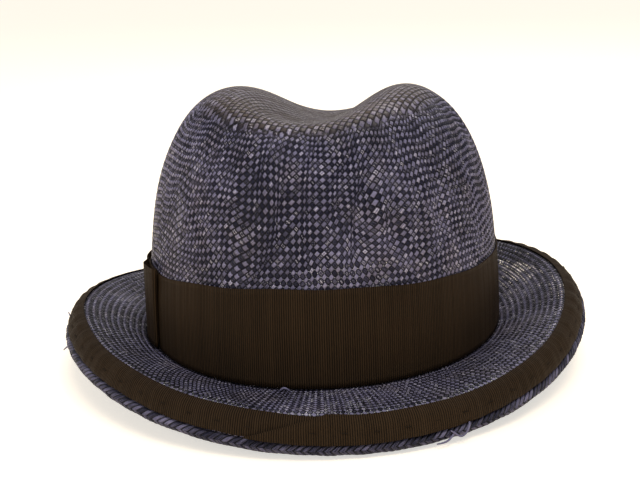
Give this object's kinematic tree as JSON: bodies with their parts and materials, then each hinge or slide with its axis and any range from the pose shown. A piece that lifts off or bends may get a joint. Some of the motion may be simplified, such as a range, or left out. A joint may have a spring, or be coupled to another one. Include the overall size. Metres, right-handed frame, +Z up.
{
  "type": "fedora hat",
  "caption": "Navy woven straw fedora with a dark brown grosgrain hatband, a flat side bow and a rolled brim edge trimmed with ribbon",
  "frame": {"origin": "On the table the hat stands on, in the middle of the brim's outline", "axes": "+X to the wearer's left, -Y to the front of the hat, +Z up"},
  "size_m": [0.2514, 0.2743, 0.1305],
  "materials": {
    "navy_straw": "woven straw, dyed navy, slightly waxy",
    "brown_grosgrain": "ribbed grosgrain ribbon",
    "sweatband_grosgrain": "soft ribbed ribbon",
    "brown_thread": "twisted sewing thread",
    "navy_thread": "twisted sewing thread",
    "wire_steel": "millinery wire"
  },
  "bodies": {
    "root": {"crown": "navy_straw", "brim": "navy_straw", "edge_braid": "navy_straw", "brim_wire": "wire_steel", "wire_joiner": "wire_steel", "edge_ribbon": "brown_grosgrain", "edge_ribbon_stitches": "brown_thread", "hatband": "brown_grosgrain", "hatband_lap": "brown_grosgrain", "bow_front_loop": "brown_grosgrain", "bow_back_loop": "brown_grosgrain", "bow_knot": "brown_grosgrain", "bow_tacks": "brown_thread", "headline_stitches": "navy_thread", "sweatband": "sweatband_grosgrain", "sweatband_stitches": "brown_thread", "sweatband_bow": "brown_grosgrain", "sweatband_bow_knot": "brown_grosgrain"}
  },
  "joints": []
}
